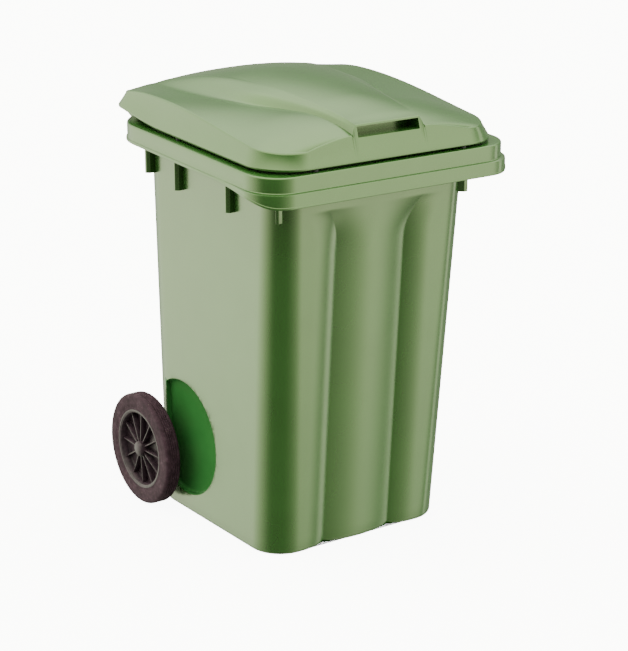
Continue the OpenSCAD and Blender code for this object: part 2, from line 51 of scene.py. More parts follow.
# Sizes are millimetres in the designer's frame, where y = 0 is the tub's front edge on the floor.
tub = {
    "footWidth": 454, "footDepth": 489, "waistWidth": 490, "waistHeight": 818,
    "frontLean": 57, "rearLean": 14,
    "frontCorner": 72, "rearCorner": 95, "frontCornerLoss": 12, "rearCornerLoss": 15,
    "wall": 4, "floor": 6, "floorRound": 8,
    "fluteX": 85, "fluteDepth": 14.5, "fluteReach": 61, "fluteTop": 655,
    "flareHeight": 92, "flareWidth": 32, "flareLead": 15, "flarePower": 2.2, "fadePower": 2.6,
}
rim = {
    "height": 843, "width": 620, "front": 112, "depth": 602, "tilt": 2.5,
    "frontCorner": 72, "rearCorner": 110, "edgeRound": 4,
    "step": 32, "frontSkirt": 61, "sideSkirt": 38, "skirtGrowth": 12, "growthLength": 170,
    "band": 8, "bandFade": 60, "bandSideShare": 0.35, "bandTrim": 0.975, "bead": 0.9, "beadHeight": 4.5,
}
slopeUp = tan(radians(rim["tilt"]))
wallLean = (tub["waistWidth"] - tub["footWidth"]) / 2 / tub["waistHeight"]
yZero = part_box("body")[0].y * 1000 + rim["front"] + rim["band"]
axleAt = (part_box("axle")[0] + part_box("axle")[1]) / 2 * 1000
hingeAt = Vector(next(j for j in frame["joints"] if j["name"] == "lid_hinge")["pos_m"]) * 1000


def mix(a, b, t):
    return a + (b - a) * t


def smooth(t):
    t = np.clip(t, 0, 1)
    return t * t * (3 - 2 * t)


def placed(points):
    p = np.array(points, float).reshape(-1, 3)
    p[:, 1] += yZero
    return p / 1000


def srgb(code):
    # an sRGB hex value as a linear colour
    parts = [int(code[i:i + 2], 16) / 255 for i in (1, 3, 5)]
    return tuple(c / 12.92 if c <= 0.04045 else ((c + 0.055) / 1.055) ** 2.4 for c in parts) + (1.0,)


def addNode(tree, kind, settings=None, inputs=None, links=None):
    node = tree.nodes.new(kind)
    for key, value in (settings or {}).items():
        setattr(node, key, value)
    for key, value in (inputs or {}).items():
        node.inputs[key].default_value = value
    for key, socket in (links or {}).items():
        tree.links.new(socket, node.inputs[key])
    return node


def newMaterial(name, colour, roughness, extra=None):
    material = bpy.data.materials.new(name)
    material.use_nodes = True
    tree = material.node_tree
    shader = tree.nodes["Principled BSDF"]
    shader.inputs["Base Color"].default_value = srgb(colour)
    shader.inputs["Roughness"].default_value = roughness
    for key, value in (extra or {}).items():
        shader.inputs[key].default_value = value
    return material, tree, shader


def ramp(tree, fac, stops):
    node = addNode(tree, "ShaderNodeValToRGB", links={"Fac": fac})
    marks = node.color_ramp.elements
    while len(marks) < len(stops):
        marks.new(0.5)
    for mark, (at, colour) in zip(marks, stops):
        mark.position = at
        mark.color = srgb(colour)
    return node.outputs["Color"]


perMetre = 1000  # noise scale for one cell to a millimetre, on coordinates in metres


def mouldedGreen():
    # injection-moulded HDPE: saturated green through the mass, satin skin with a fine spark-eroded grain
    material, tree, shader = newMaterial("mouldedGreenHdpe", "#204519", 0.22, {
        "IOR": 1.54, "Specular IOR Level": 1.0, "Specular Tint": (0.84, 1.0, 0.62, 1.0)})
    place = addNode(tree, "ShaderNodeTexCoord").outputs["Object"]
    cloud = addNode(tree, "ShaderNodeTexNoise", inputs={"Scale": perMetre / 160, "Detail": 3.0},
                    links={"Vector": place})
    tint = ramp(tree, cloud.outputs["Fac"], [(0.3, "#1e4217"), (0.7, "#23491c")])
    tree.links.new(tint, shader.inputs["Base Color"])
    flow = addNode(tree, "ShaderNodeTexNoise", inputs={"Scale": perMetre / 45, "Detail": 5.0},
                   links={"Vector": place})
    gloss = addNode(tree, "ShaderNodeMapRange", inputs={"To Min": 0.19, "To Max": 0.26},
                    links={"Value": flow.outputs["Fac"]})
    tree.links.new(gloss.outputs["Result"], shader.inputs["Roughness"])
    grain = addNode(tree, "ShaderNodeTexNoise", inputs={"Scale": perMetre / 1.6, "Detail": 2.0},
                    links={"Vector": place})
    bump = addNode(tree, "ShaderNodeBump", inputs={"Strength": 0.06, "Distance": 0.0004},
                   links={"Height": grain.outputs["Fac"]})
    tree.links.new(bump.outputs["Normal"], shader.inputs["Normal"])
    return material


def recessShadeGreen():
    # painted shade: a copy of the same HDPE green for the recess beside each wheel, with no grain, almost no
    # reflection and a deeper, more even green, standing in for the wheel's shade and dark reflection there
    material, tree, shader = newMaterial("recessShadeGreenHdpe", "#2c6030", 0.12, {
        "IOR": 1.5, "Specular IOR Level": 0.12})
    place = addNode(tree, "ShaderNodeTexCoord").outputs["Object"]
    cloud = addNode(tree, "ShaderNodeTexNoise", inputs={"Scale": perMetre / 120, "Detail": 3.0},
                    links={"Vector": place})
    tint = ramp(tree, cloud.outputs["Fac"], [(0.3, "#295c2d"), (0.7, "#2f6634")])
    tree.links.new(tint, shader.inputs["Base Color"])
    return material


def mouldedWheel():
    # injection-moulded polypropylene, charcoal with a purple cast, satin
    material, tree, shader = newMaterial("mouldedCharcoalPolypropylene", "#352833", 0.42,
                                           {"Specular IOR Level": 0.25})
    place = addNode(tree, "ShaderNodeTexCoord").outputs["Object"]
    dust = addNode(tree, "ShaderNodeTexNoise", inputs={"Scale": perMetre / 9, "Detail": 6.0},
                   links={"Vector": place})
    tint = ramp(tree, dust.outputs["Fac"], [(0.35, "#2c2029"), (0.7, "#40303b")])
    tree.links.new(tint, shader.inputs["Base Color"])
    bump = addNode(tree, "ShaderNodeBump", inputs={"Strength": 0.15, "Distance": 0.0004},
                   links={"Height": dust.outputs["Fac"]})
    tree.links.new(bump.outputs["Normal"], shader.inputs["Normal"])
    return material


def tyreRubber():
    # solid recycled-rubber tyre: matt, mottled with dust and pale specks from the yard
    material, tree, shader = newMaterial("recycledRubber", "#3b2b34", 0.8, {"Specular IOR Level": 0.12})
    place = addNode(tree, "ShaderNodeTexCoord").outputs["Object"]
    patch = addNode(tree, "ShaderNodeTexNoise", inputs={"Scale": perMetre / 14, "Detail": 8.0,
                                                        "Roughness": 0.65}, links={"Vector": place})
    tint = ramp(tree, patch.outputs["Fac"], [(0.3, "#281a23"), (0.55, "#3b2834"), (0.75, "#523d4a")])
    speck = addNode(tree, "ShaderNodeTexNoise", inputs={"Scale": perMetre / 2.2, "Detail": 2.0},
                    links={"Vector": place})
    spots = addNode(tree, "ShaderNodeMapRange", inputs={"From Min": 0.72, "From Max": 0.78},
                    links={"Value": speck.outputs["Fac"]})
    dusty = addNode(tree, "ShaderNodeMix", {"data_type": "RGBA"}, {"B": srgb("#8f8478")},
                    {"Factor": spots.outputs["Result"], "A": tint})
    tree.links.new(dusty.outputs["Result"], shader.inputs["Base Color"])
    bump = addNode(tree, "ShaderNodeBump", inputs={"Strength": 0.35, "Distance": 0.0006},
                   links={"Height": patch.outputs["Fac"]})
    tree.links.new(bump.outputs["Normal"], shader.inputs["Normal"])
    return material


def plainNylon():
    # moulded nylon 6: near-black, slightly glossy, with a soft flow mottle
    material, tree, shader = newMaterial("mouldedNylon", "#1d1b1d", 0.42)
    place = addNode(tree, "ShaderNodeTexCoord").outputs["Object"]
    flow = addNode(tree, "ShaderNodeTexNoise", inputs={"Scale": perMetre / 6, "Detail": 4.0},
                   links={"Vector": place})
    tint = ramp(tree, flow.outputs["Fac"], [(0.3, "#191719"), (0.7, "#242124")])
    tree.links.new(tint, shader.inputs["Base Color"])
    return material


def bufferRubber():
    # black EPDM pads: matt, faintly powdery
    material, tree, shader = newMaterial("epdmRubber", "#161516", 0.8)
    place = addNode(tree, "ShaderNodeTexCoord").outputs["Object"]
    bloom = addNode(tree, "ShaderNodeTexNoise", inputs={"Scale": perMetre / 3, "Detail": 4.0},
                    links={"Vector": place})
    tint = ramp(tree, bloom.outputs["Fac"], [(0.35, "#121112"), (0.75, "#232122")])
    tree.links.new(tint, shader.inputs["Base Color"])
    return material


def zincSteel():
    # drawn steel with bright zinc plating: cool grey metal, drawn lines along the axle
    material, tree, shader = newMaterial("zincPlatedSteel", "#aeb1b4", 0.34, {"Metallic": 1.0})
    place = addNode(tree, "ShaderNodeTexCoord").outputs["Object"]
    squeeze = addNode(tree, "ShaderNodeMapping", inputs={"Scale": (0.05, 1.0, 1.0)},
                      links={"Vector": place})
    lines = addNode(tree, "ShaderNodeTexNoise", inputs={"Scale": perMetre / 1.2, "Detail": 3.0},
                    links={"Vector": squeeze.outputs["Vector"]})
    gloss = addNode(tree, "ShaderNodeMapRange", inputs={"To Min": 0.26, "To Max": 0.44},
                    links={"Value": lines.outputs["Fac"]})
    tree.links.new(gloss.outputs["Result"], shader.inputs["Roughness"])
    return material


green = mouldedGreen()
greenRecessShade = recessShadeGreen()
charcoal = mouldedWheel()
rubber = tyreRubber()
nylon = plainNylon()
padRubber = bufferRubber()
zinc = zincSteel()
print("materials ready")


def newPiece(name, points, faces, material):
    mesh = bpy.data.meshes.new(name)
    mesh.from_pydata([tuple(p) for p in points], [], faces)
    bm = bmesh.new()
    bm.from_mesh(mesh)
    bmesh.ops.remove_doubles(bm, verts=bm.verts, dist=1e-6)
    bmesh.ops.recalc_face_normals(bm, faces=bm.faces)
    bm.to_mesh(mesh)
    bm.free()
    mesh.materials.append(material)
    piece = bpy.data.objects.new(name, mesh)
    bpy.context.scene.collection.objects.link(piece)
    return piece


def skin(rings, closed=True):
    # quads between rings of equal length, numbered ring after ring
    n = len(rings[0])
    span = range(n) if closed else range(n - 1)
    return [(r * n + i, r * n + (i + 1) % n, (r + 1) * n + (i + 1) % n, (r + 1) * n + i)
            for r in range(len(rings) - 1) for i in span]


def mirroredCap(start, n):
    # closes a loop that is the same on both sides of x = 0, point k facing point n - k
    half = n // 2
    quads = [(start + i, start + i + 1, start + n - i - 1, start + (n - i) % n) for i in range(1, half - 1)]
    return [(start, start + 1, start + n - 1)] + quads + [(start + half - 1, start + half, start + half + 1)]


def lathe(name, profile, centre, side, material, steps=128):
    # profile points are (radius, distance along X), and the profile is closed or starts and ends on the axis;
    # side turns them to the left or right of the bin
    angles = [2 * pi * k / steps for k in range(steps)]
    rings = [[(centre.x + side * x, centre.y + r * cos(a), centre.z + r * sin(a)) for a in angles]
             for r, x in profile]
    points = np.array(rings).reshape(-1, 3) / 1000
    return newPiece(name, points, skin(rings), material)


def result(piece):
    # applies what the modifiers make, and leaves a plain mesh
    bpy.context.view_layer.update()
    graph = bpy.context.evaluated_depsgraph_get()
    mesh = bpy.data.meshes.new_from_object(piece.evaluated_get(graph))
    piece.modifiers.clear()
    old = piece.data
    piece.data = mesh
    bpy.data.meshes.remove(old)
    return piece


def carve(piece, tools, operation):
    for tool in tools:
        modifier = piece.modifiers.new(operation, "BOOLEAN")
        modifier.operation = operation
        modifier.solver = "MANIFOLD"
        modifier.object = tool
    result(piece)
    for tool in tools:
        bpy.data.objects.remove(tool)
    return piece


def polish(piece, angle=30):
    piece.data.shade_smooth()
    piece.data.set_sharp_from_angle(angle=radians(angle))
    return piece


def prism(name, outline, axis, low, high, material, bevel=0.0):
    # outline in the two axes other than axis, in x-y-z order, pushed from low to high along it
    def point(p, depth):
        full = list(p)
        full.insert(axis, depth)
        return full
    rings = [[point(p, low) for p in outline], [point(p, high) for p in outline]]
    n = len(outline)
    faces = skin(rings) + [tuple(range(n)), tuple(range(n, 2 * n))]
    piece = newPiece(name, placed(np.array(rings).reshape(-1, 3)), faces, material)
    if bevel:
        soft = piece.modifiers.new("soft", "BEVEL")
        soft.width = bevel / 1000
        soft.segments = 3
        soft.limit_method = "ANGLE"
        soft.angle_limit = radians(35)
        result(piece)
    return piece


def attach(piece, body, slot, *nodes):
    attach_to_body(piece, body)
    if nodes:
        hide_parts(*nodes)
    return piece


def rod(name, x0, x1, y, z, radius, material, edge=1.0, steps=64):
    profile = [(0, x0), (radius - edge, x0), (radius, x0 + edge),
               (radius, x1 - edge), (radius - edge, x1), (0, x1)]
    return lathe(name, profile, Vector((0, y + yZero, z)), 1, material, steps)


# Camera and floor are in metres, its angles in degrees, the lens and sensor in millimetres
camera = {"place": (-2.3357, -3.394, 1.7224), "pitch": 72.41, "turn": -34.95, "lens": 110.17, "sensor": 36,
          "farthest": 60}
cameraData = bpy.data.cameras.new("camera")
cameraData.lens = camera["lens"]
cameraData.sensor_width = camera["sensor"]
cameraData.clip_end = camera["farthest"]
cameraObject = bpy.data.objects.new("camera", cameraData)
cameraObject.location = camera["place"]
cameraObject.rotation_euler = (radians(camera["pitch"]), 0, radians(camera["turn"]))
bpy.context.scene.collection.objects.link(cameraObject)
bpy.context.scene.camera = cameraObject

paint = {"colour": "#e6e6e4", "roughness": 0.9, "glow": 9.0, "half": 30}
floorMaterial, _, _ = newMaterial("paintedFloor", paint["colour"], paint["roughness"], {
    "Emission Color": srgb("#ffffff"), "Emission Strength": paint["glow"]})
corners = [(x * paint["half"], y * paint["half"], 0) for x, y in ((-1, -1), (1, -1), (1, 1), (-1, 1))]
floor = newPiece("studioFloor", corners, [(0, 1, 2, 3)], floorMaterial)
for rayKind in ("visible_diffuse", "visible_glossy", "visible_shadow"):
    setattr(floor, rayKind, False)  # the light from the walls reaches the bin from low down

# Brightness of the studio's walls, against the compass angle counted from +X in degrees
walls = ((-180, 1.5), (-176, 0.9), (-166, 0.2), (-156, 0.02), (-116, 0.02), (-106, 0.2), (-96, 0.6),
         (-86, 1.1), (-76, 1.8), (-66, 3.0), (-55, 4.9), (-46, 4.4), (-35, 2.6), (-25, 0.6), (-21, 0.5),
         (-17, 3.8), (-9, 3.8), (-4, 0.4), (55, 0.2), (85, 0.9), (105, 3.2), (121, 4.6), (143, 4.4),
         (163, 3.0), (173, 2.0), (180, 1.5))
wallTop = 5.0  # above every level in the chart, because a ramp holds no more than 1
# Pairs of heights are the steepness of the view into the sky, from -1 straight down to 1 straight up
studio = {"walls": 0.86, "wallFade": (0.35, 0.75), "low": 0.4, "lowFade": (-0.62, -0.28),
          "ceiling": 4.4, "ceilingLow": 0.3, "ceilingFade": (0.3, 0.85), "tint": (0.93, 1.0, 0.78, 1.0)}

world = bpy.data.worlds.new("studio")
world.use_nodes = True
bpy.context.scene.world = world
sky = world.node_tree
sky.nodes.clear()
towards = addNode(sky, "ShaderNodeTexCoord").outputs["Generated"]
parts = addNode(sky, "ShaderNodeSeparateXYZ", links={0: towards}).outputs
compass = addNode(sky, "ShaderNodeMath", {"operation": "ARCTAN2"}, links={0: parts["Y"], 1: parts["X"]})
share = addNode(sky, "ShaderNodeMapRange", inputs={"From Min": -pi, "From Max": pi},
                links={"Value": compass.outputs[0]})
chart = addNode(sky, "ShaderNodeValToRGB", links={"Fac": share.outputs[0]})
marks = chart.color_ramp.elements
while len(marks) < len(walls):
    marks.new(0.5)
for mark, (angle, level) in zip(marks, walls):
    mark.position = (angle + 180) / 360
    mark.color = (level / wallTop, level / wallTop, level / wallTop, 1)
fade = addNode(sky, "ShaderNodeMapRange", {"interpolation_type": "SMOOTHSTEP"},
               {"From Min": studio["wallFade"][0], "From Max": studio["wallFade"][1],
                "To Min": wallTop * studio["walls"], "To Max": 0.0}, links={"Value": parts["Z"]})
low = addNode(sky, "ShaderNodeMapRange", {"interpolation_type": "SMOOTHSTEP"},
              {"From Min": studio["lowFade"][0], "From Max": studio["lowFade"][1],
               "To Min": studio["low"], "To Max": 1.0}, links={"Value": parts["Z"]})
wall = addNode(sky, "ShaderNodeMath", {"operation": "MULTIPLY"},
               links={0: fade.outputs[0], 1: low.outputs[0]})
ceiling = addNode(sky, "ShaderNodeMapRange", {"interpolation_type": "SMOOTHSTEP"},
                  {"From Min": studio["ceilingFade"][0], "From Max": studio["ceilingFade"][1],
                   "To Min": studio["ceilingLow"], "To Max": studio["ceiling"]}, links={"Value": parts["Z"]})
level = addNode(sky, "ShaderNodeMath", {"operation": "MULTIPLY_ADD"},
                links={0: chart.outputs["Color"], 1: wall.outputs[0], 2: ceiling.outputs[0]})
glow = addNode(sky, "ShaderNodeBackground", inputs={"Color": studio["tint"]},
               links={"Strength": level.outputs[0]})
addNode(sky, "ShaderNodeOutputWorld", links={"Surface": glow.outputs[0]})
print("camera, floor and lights ready")


def rimZ(y):
    return rim["height"] + slopeUp * (y + rim["front"])


panelSteps = 1 - (1 - np.linspace(0, 1, 25)) ** 1.6  # closer together towards the valley
postSteps = np.linspace(0, 1, 27) ** 1.5
cornerSteps = np.radians(np.linspace(0, 90, 21))
sideCount, rearCount = 26, 16


def halfOutline(halfWidth, front, back, frontRadius, backRadius, valleyX, valleyDepth, reach):
    # from the middle of the front, over half the panel, the valley, the post and the corners,
    # to the middle of the back
    panel = np.stack([valleyX * panelSteps, front + valleyDepth * panelSteps ** 2], 1)
    x = mix(valleyX, halfWidth - frontRadius, postSteps[1:])
    post = np.stack([x, front + valleyDepth * np.clip(1 - (x - valleyX) / reach, 0, 1) ** 2], 1)
    q = cornerSteps[1:]
    frontArc = np.stack([halfWidth - frontRadius + frontRadius * np.sin(q),
                         front + frontRadius * (1 - np.cos(q))], 1)
    y = np.linspace(front + frontRadius, back - backRadius, sideCount)[1:-1]
    side = np.stack([np.full(len(y), halfWidth), y], 1)
    q = cornerSteps
    backArc = np.stack([halfWidth - backRadius * (1 - np.cos(q)), back - backRadius * (1 - np.sin(q))], 1)
    x = np.linspace(halfWidth - backRadius, 0, rearCount)[1:]
    rear = np.stack([x, np.full(len(x), back)], 1)
    return np.concatenate([panel, post, frontArc, side, backArc, rear])


def wholeOutline(half):
    other = half[-2:0:-1] * (-1, 1)
    return np.concatenate([half, other])


def tubOutline(z, inset):
    s = min(1, z / tub["waistHeight"])
    rise = (z - tub["fluteTop"]) / tub["flareHeight"]
    valleyX = tub["fluteX"] + tub["flareWidth"] * np.clip(rise, 0, 1) ** tub["flarePower"]
    lead = tub["flareLead"]
    faded = np.clip((z - tub["fluteTop"] + lead) / (tub["flareHeight"] + lead), 0, 1) ** tub["fadePower"]
    return wholeOutline(halfOutline(
        mix(tub["footWidth"], tub["waistWidth"], s) / 2 - inset,
        -tub["frontLean"] * s + inset, tub["footDepth"] - tub["rearLean"] * s - inset,
        tub["frontCorner"] - tub["frontCornerLoss"] * s - inset,
        tub["rearCorner"] - tub["rearCornerLoss"] * s - inset,
        valleyX, tub["fluteDepth"] * (1 - faded), tub["fluteReach"]))


def rimOutline(inset):
    return wholeOutline(halfOutline(
        rim["width"] / 2 - inset, -rim["front"] + inset, rim["depth"] - rim["front"] - inset,
        rim["frontCorner"] - inset, rim["rearCorner"] - inset, tub["fluteX"], 0, tub["fluteReach"]))


def flatRing(outline, z):
    return np.column_stack([outline, np.full(len(outline), z)])


def rimRing(outline, drop):
    return np.column_stack([outline, rimZ(outline[:, 1]) - drop])


def bandOut(y):
    along = y + rim["front"]
    return rim["band"] * mix(1, rim["bandSideShare"], smooth((along - rim["bandFade"]) / rim["bandFade"]))


def skirtDrop(y):
    along = y + rim["front"]
    growing = rim["skirtGrowth"] * (1 - np.clip(along / rim["growthLength"], 0, 1))
    frontMore = rim["frontSkirt"] - rim["sideSkirt"] - rim["skirtGrowth"]
    return rim["sideSkirt"] + growing + frontMore * (1 - smooth(along / rim["bandFade"]))


def bandRing(inset, out, fromFoot=None, fromStep=0.0):
    # a ring of the lower band: out is its share of the band, and its height is counted from the skirt's foot
    # or from the step; where the skirt is short, the step keeps at least 6 mm above the foot
    p = rimOutline(inset)
    middle = rim["depth"] / 2 - rim["front"]
    push = out * bandOut(p[:, 1]) / (1 + rim["bead"] / rim["band"]) * rim["bandTrim"]
    x = p[:, 0] * (1 + push / rim["width"] * 2)
    y = np.where(p[:, 1] < middle, middle + (p[:, 1] - middle) * (1 + 2 * push / rim["depth"]), p[:, 1])
    foot = skirtDrop(y)
    if fromFoot is not None:
        drop = foot - fromFoot
    else:
        drop = np.minimum(rim["step"] + fromStep, foot - 6 + fromStep * 0.3)
    return np.column_stack([x, y, rimZ(y) - drop])


def arc(count):
    return [radians(90 * k / count) for k in range(count + 1)]


def tubShell():
    r = tub["floorRound"]
    lead = tub["flareLead"]
    flare = np.linspace(tub["fluteTop"] - lead, tub["fluteTop"] + tub["flareHeight"] + 4, 44)
    walls = list(np.linspace(r, flare[0], 30)[1:-1]) + list(flare)
    outer = [flatRing(tubOutline(r * (1 - cos(q)), r * (1 - sin(q))), r * (1 - cos(q))) for q in arc(7)]
    outer += [flatRing(tubOutline(z, 0), z) for z in walls]
    e = rim["edgeRound"]
    bead = rim["bead"] / rim["band"]
    beadTop = rim["beadHeight"]
    waist = tub["waistHeight"]
    # out under the top, down inside the skirt, round its beaded foot, and up the band to the step
    brim = [rimRing(tubOutline(waist, 0), 12), rimRing(tubOutline(waist, -2.3), 6.3)]
    brim += [rimRing(tubOutline(waist, -8), 4), rimRing(rimOutline(tub["wall"]), 4)]
    brim += [rimRing(rimOutline(tub["wall"]), rim["step"] - 6)]
    brim += [bandRing(tub["wall"], 1, fromFoot=1.0), bandRing(tub["wall"] - 1, 1, fromFoot=0.0)]
    brim += [bandRing(1.2, 1 + bead, fromFoot=0.0), bandRing(0.4, 1 + bead, fromFoot=0.35)]
    brim += [bandRing(0, 1 + bead, fromFoot=1.2), bandRing(0, 1 + bead, fromFoot=beadTop - 0.8)]
    brim += [bandRing(0, 1 + bead * 0.6, fromFoot=beadTop), bandRing(0, 1, fromFoot=beadTop + 0.6)]
    brim += [bandRing(0, 1, fromStep=3.2), bandRing(0, 0.93, fromStep=1.0), bandRing(0, 0.72, fromStep=0.0)]
    brim += [bandRing(0, 0.14, fromStep=-0.8), bandRing(0, 0.0, fromStep=-2.0)]
    # up to the rounded edge, and over the lip into the tub
    brim += [rimRing(rimOutline(0), (rim["step"] + e) / 2)]
    brim += [rimRing(rimOutline(e * (1 - cos(q))), e * (1 - sin(q))) for q in arc(6)]
    brim += [rimRing(tubOutline(waist, tub["wall"] - 4), 0)]
    brim += [rimRing(tubOutline(waist, tub["wall"] - 1.2), 1.2), rimRing(tubOutline(waist, tub["wall"]), 5)]
    low = tub["floor"]
    inner = [flatRing(tubOutline(z, tub["wall"]), z) for z in reversed(walls) if z > low + r]
    for q in arc(5):
        z = low + r * (1 - sin(q))
        inner.append(flatRing(tubOutline(z, tub["wall"] + r * (1 - cos(q))), z))
    rings = outer + brim + inner
    n = len(rings[0])
    faces = skin(rings) + mirroredCap(0, n) + mirroredCap((len(rings) - 1) * n, n)
    return newPiece("tubShell", placed(np.concatenate(rings)), faces, green)


bay = {"halfWidth": 182, "front": 52, "top": 42, "rise": 24, "behind": 40,
       "bossRadius": 21, "bossOut": 236, "boreRadius": 13.06}
dish = {"radius": 130, "ahead": 102, "above": 48, "depth": 12, "backCut": 34, "lip": 3, "lipIn": 2,
        "footIn": 9, "footRound": 7, "outside": 40}
farOff = 400  # further than any part of the bin that a cutter has to pass
axleY = axleAt.y - yZero
axleZ = axleAt.z


def wallX(z):
    # how far out the tub's side wall stands at height z
    return tub["footWidth"] / 2 + wallLean * z


def bayPiece(grow):
    # the open space under the tub's rear edge, with a sloping front corner
    top = axleZ + bay["top"] + grow
    front = axleY - bay["front"]
    back = tub["footDepth"] + bay["behind"]
    outline = [(front - grow, -1), (front - grow, top - bay["rise"]), (front + bay["rise"] - grow * 0.4, top),
               (back, top + bay["rise"]), (back, -1)]
    half = bay["halfWidth"] + grow
    return prism("bay", outline, 0, -half, half, green)


def dishPiece(side, grow):
    # a shallow round pocket that leans with the wall, with a flared lip and a straight rear edge
    y, z = axleY - dish["ahead"], axleZ + dish["above"]
    r, depth, out = dish["radius"] + grow, dish["depth"] + grow, dish["outside"]
    if grow:
        profile = [(0, -depth), (r, -depth), (r, out), (0, out)]
    else:
        foot, turn = r - dish["footIn"], dish["footRound"]
        edge, lip = r - dish["lipIn"], dish["lip"]
        profile = [(0, -depth), (foot, -depth)]
        profile += [(foot + turn * sin(q), -depth + turn * (1 - cos(q))) for q in arc(6)[1:]]
        profile += [(edge + lip * (1 - cos(q)), -lip + lip * sin(q)) for q in arc(5)]
        profile += [(edge + lip, out), (0, out)]
    piece = lathe("dish", profile, Vector((wallX(z) * side, y + yZero, z)), side, green, 160)
    cut = axleY - dish["backCut"] + grow
    corners = [(cut - farOff, z - farOff), (cut, z - farOff), (cut, z + farOff), (cut - farOff, z + farOff)]
    keep = prism("dishKeep", corners, 0, -farOff, farOff, green)
    carve(piece, [keep], "INTERSECT")
    points = np.array([v.co for v in piece.data.vertices])
    points[:, 0] += side * wallLean * (points[:, 2] - z / 1000)
    for vertex, p in zip(piece.data.vertices, points):
        vertex.co = p
    return piece


ribs = {"out": 17, "thick": 12, "nose": 6, "root": 8, "topGap": 2, "cornerOut": 15, "cornerIn": 19,
        "cornerReach": 107, "side": ((106, 113), (302, 106), (418, 91))}


def ribPiece(x, y, turn, out, low, high):
    # a plate under the rim, with its front edge cut off
    half, nose, root = ribs["thick"] / 2, ribs["nose"], ribs["root"]
    flat = [(-root, -half), (out - nose, -half), (out, nose - half), (out, half), (-root, half)]
    c, s = cos(radians(turn)), sin(radians(turn))
    mirror = -1 if 90 < turn % 360 < 270 else 1
    outline = [(x + px * c - py * mirror * s, y + px * s + py * mirror * c) for px, py in flat]
    return prism("rib", outline, 2, low, high, green, bevel=0.8)


hinge = {"earThick": 10, "gap": 0.4, "knuckleX": 184, "knuckleLong": 44, "knuckleRadius": 16,
         "barRadius": 14, "boreRadius": 6.06, "earDrop": 56, "earSink": 4, "earNotch": 22}


def earPiece(x):
    y, z = hingeAt.y - yZero, hingeAt.z
    wall = tub["footDepth"] - tub["rearLean"]
    r = hinge["knuckleRadius"]
    outline = [(wall - hinge["earSink"], z - hinge["earDrop"]), (wall - hinge["earSink"], z - 4)]
    outline += [(y + r * cos(radians(a)), z + r * sin(radians(a))) for a in range(100, -101, -10)]
    outline += [(y - r, z - hinge["earNotch"])]
    return prism("ear", outline, 0, x, x + hinge["earThick"], green, bevel=1.0)


def inDish(face):
    # true for a face that the recess beside a wheel has made
    y, z = axleAt.y - dish["ahead"], axleZ + dish["above"]
    away = ((face.center.y * 1000 - y) ** 2 + (face.center.z * 1000 - z) ** 2) ** 0.5
    deep = wallX(face.center.z * 1000) - abs(face.center.x) * 1000
    ahead = face.center.y * 1000 < axleAt.y - dish["backCut"] + 1
    return away < dish["radius"] + 1 and ahead and 0.3 < deep < dish["depth"] + 0.5


def buildTub():
    shell = tubShell()
    rings = [flatRing(tubOutline(z, tub["wall"] / 2), z) for z in (2, 400)]
    n = len(rings[0])
    # the pockets' walls are kept to the inside of the tub by this block
    block = newPiece("tubBlock", placed(np.concatenate(rings)),
                     skin(rings) + mirroredCap(0, n) + mirroredCap(n, n), green)
    inside = bayPiece(tub["wall"])
    carve(inside, [dishPiece(1, tub["wall"]), dishPiece(-1, tub["wall"])], "UNION")
    carve(inside, [block], "INTERSECT")
    extra = [inside]
    for y, reach in ribs["side"]:
        low = rim["height"] - reach
        x, high = wallX(low), rimZ(y) - ribs["topGap"]
        extra.append(ribPiece(x, y, 0, ribs["out"], low, high))
        extra.append(ribPiece(-x, y, 180, ribs["out"], low, high))
    x, y = tub["waistWidth"] / 2 - ribs["cornerIn"], ribs["cornerIn"] - tub["frontLean"]
    low, high = rim["height"] - ribs["cornerReach"], rim["height"] - ribs["topGap"]
    extra.append(ribPiece(x, y, -45, ribs["cornerOut"], low, high))
    extra.append(ribPiece(-x, y, -135, ribs["cornerOut"], low, high))
    earIn = hinge["knuckleX"] - hinge["gap"] - hinge["earThick"]
    earOut = hinge["knuckleX"] + hinge["knuckleLong"] + hinge["gap"]
    for x in (earIn, earOut, -earIn - hinge["earThick"], -earOut - hinge["earThick"]):
        extra.append(earPiece(x))
    extra.append(rod("bar", -earIn - 1, earIn + 1, hingeAt.y - yZero, hingeAt.z, hinge["barRadius"], green))
    for side in (1, -1):
        ends = sorted((side * (bay["halfWidth"] - 1), side * bay["bossOut"]))
        extra.append(rod("boss", *ends, axleY, axleZ, bay["bossRadius"], green, edge=1.5))
    carve(shell, extra, "UNION")
    cuts = [bayPiece(0), dishPiece(1, 0), dishPiece(-1, 0)]
    past = bay["bossOut"] + 2
    cuts.append(rod("axleBore", -past, past, axleY, axleZ, bay["boreRadius"], green))
    for side in (1, -1):
        ends = sorted((side * (earIn - 12), side * (earOut + hinge["earThick"] + 5)))
        cuts.append(rod("pinBore", *ends, hingeAt.y - yZero, hingeAt.z, hinge["boreRadius"], green))
    carve(shell, cuts, "DIFFERENCE")
    # the recess faces beside the wheels get the shaded copy of the green, as painted shade
    shell.data.materials.append(greenRecessShade)
    for face in shell.data.polygons:
        if inDish(face):
            face.material_index = 1
    shell.name = "tub"
    return polish(shell)


attach(buildTub(), "tub", "green_plastic", "body")
print("tub ready")

